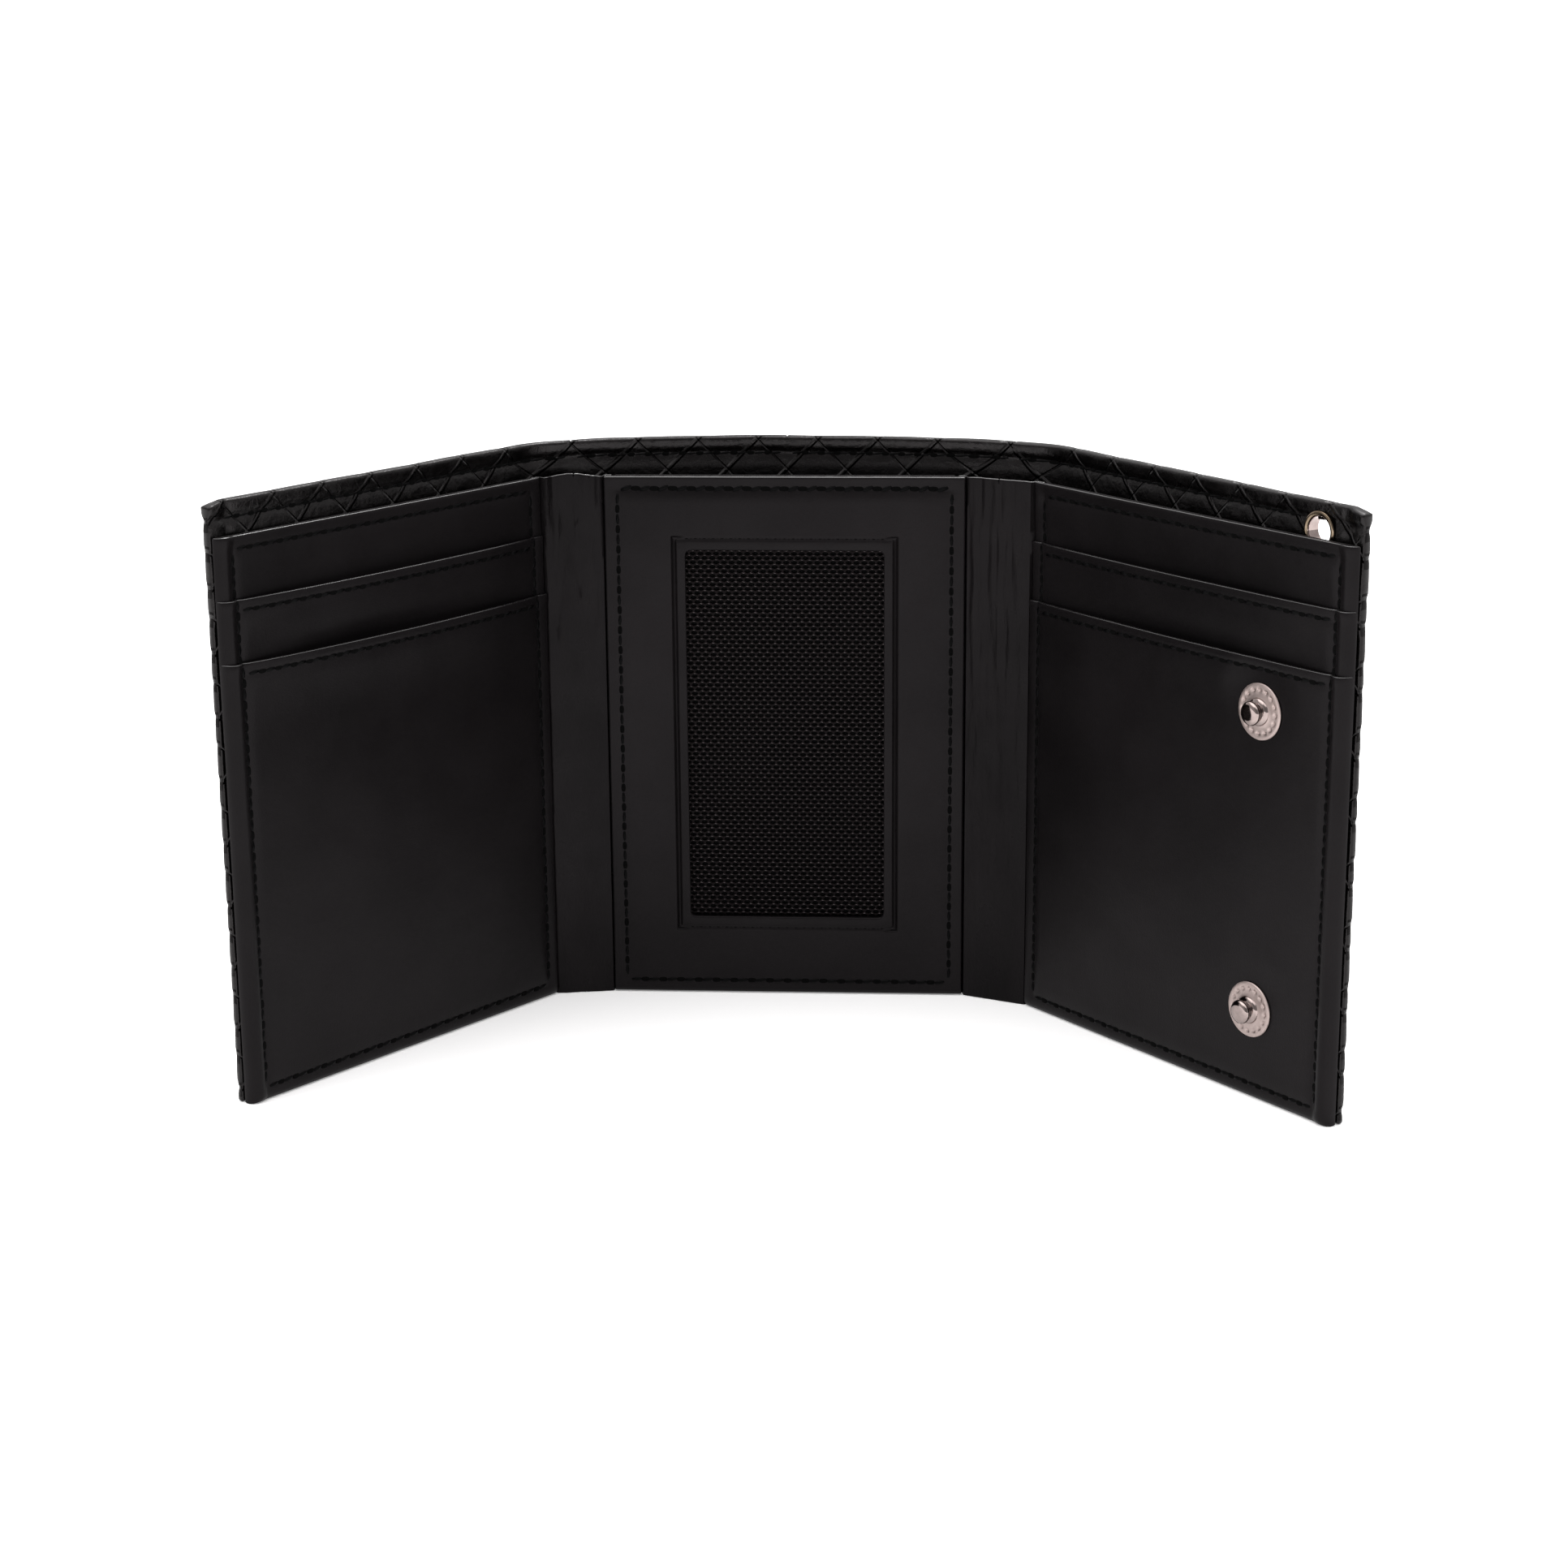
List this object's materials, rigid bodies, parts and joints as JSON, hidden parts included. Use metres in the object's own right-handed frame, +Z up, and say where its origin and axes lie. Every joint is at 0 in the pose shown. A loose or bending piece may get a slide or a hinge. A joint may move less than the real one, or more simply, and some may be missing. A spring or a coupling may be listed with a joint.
{
  "type": "trifold wallet",
  "caption": "Trifold leather wallet, half open and standing: card pockets, mesh card window, snap fasteners, chain eyelet and a bill compartment behind a woven-look cover.",
  "frame": {"origin": "on the lower edge of the middle panel's front face, halfway between its creases, where the wallet stands", "axes": "+X to the right as the inside is seen, +Y to the back where the cover is, +Z up"},
  "size_m": [0.1956, 0.0783, 0.108],
  "materials": {
    "smooth_leather": "smooth black leather with a soft sheen",
    "woven_leather": "glossy crinkled black leather embossed as a diagonal basket weave",
    "lining": "plain black lining cloth",
    "window_mesh": "black open net",
    "thread": "waxed black sewing thread",
    "nickel": "polished warm nickel"
  },
  "bodies": {
    "center": {"id_window_panel": "smooth_leather", "id_window_mesh": "window_mesh", "id_pocket_turned_edge": "smooth_leather", "id_pocket_backing": "lining", "center_bill_divider": "smooth_leather", "center_stitching": "thread", "center_cover_hem": "woven_leather", "center_cover_lining": "lining", "center_cover_facing": "woven_leather", "center_cover": "woven_leather"},
    "left_spine": {"left_spine_strip": "smooth_leather", "left_spine_bill_divider": "smooth_leather", "left_spine_cover_hem": "woven_leather", "left_spine_cover_lining": "lining", "left_spine_cover_facing": "woven_leather", "left_spine_cover": "woven_leather"},
    "right_spine": {"right_spine_strip": "smooth_leather", "right_spine_bill_divider": "smooth_leather", "right_spine_cover_hem": "woven_leather", "right_spine_cover_lining": "lining", "right_spine_cover_facing": "woven_leather", "right_spine_cover": "woven_leather"},
    "left_panel": {"left_card_pocket_1": "smooth_leather", "left_card_pocket_2": "smooth_leather", "left_card_pocket_3": "smooth_leather", "left_bill_divider": "smooth_leather", "left_stitching": "thread", "left_cover_hem": "woven_leather", "left_cover_lining": "lining", "left_cover_facing": "woven_leather", "left_cover": "woven_leather", "snap_socket_upper": "nickel", "snap_socket_lower": "nickel", "snap_socket_cap_upper": "nickel", "snap_socket_cap_lower": "nickel"},
    "right_panel": {"right_card_pocket_1": "smooth_leather", "right_card_pocket_2": "smooth_leather", "right_card_pocket_3": "smooth_leather", "right_bill_divider": "smooth_leather", "right_stitching": "thread", "right_cover_hem": "woven_leather", "right_cover_lining": "lining", "right_cover_facing": "woven_leather", "right_cover": "woven_leather", "snap_stud_upper": "nickel", "snap_stud_lower": "nickel", "snap_stud_back_upper": "nickel", "snap_stud_back_lower": "nickel", "chain_eyelet": "nickel", "chain_eyelet_washer": "nickel"}
  },
  "joints": [
    {"name": "left_spine_fold", "type": "hinge", "parent": "center", "child": "left_spine", "pos_m": [-0.034, 0, 0], "axis": [0, 0, 1], "range_deg": [-10.02, 24.18]},
    {"name": "left_panel_fold", "type": "hinge", "parent": "left_spine", "child": "left_panel", "pos_m": [-0.04473, -0.00189, 0], "axis": [0, 0, 1], "range_deg": [-42.7, 103.14]},
    {"name": "right_spine_fold", "type": "hinge", "parent": "center", "child": "right_spine", "pos_m": [0.034, 0, 0], "axis": [0, 0, -1], "range_deg": [-23.52, 61.12]},
    {"name": "right_panel_fold", "type": "hinge", "parent": "right_spine", "child": "right_panel", "pos_m": [0.04583, -0.00514, 0], "axis": [0, 0, -1], "range_deg": [-26.5, 68.9]}
  ],
  "couplings": [
    {"joint": "left_spine_fold", "follows": "left_panel_fold", "ratio": 0.23419},
    {"joint": "right_spine_fold", "follows": "right_panel_fold", "ratio": 0.88679}
  ]
}
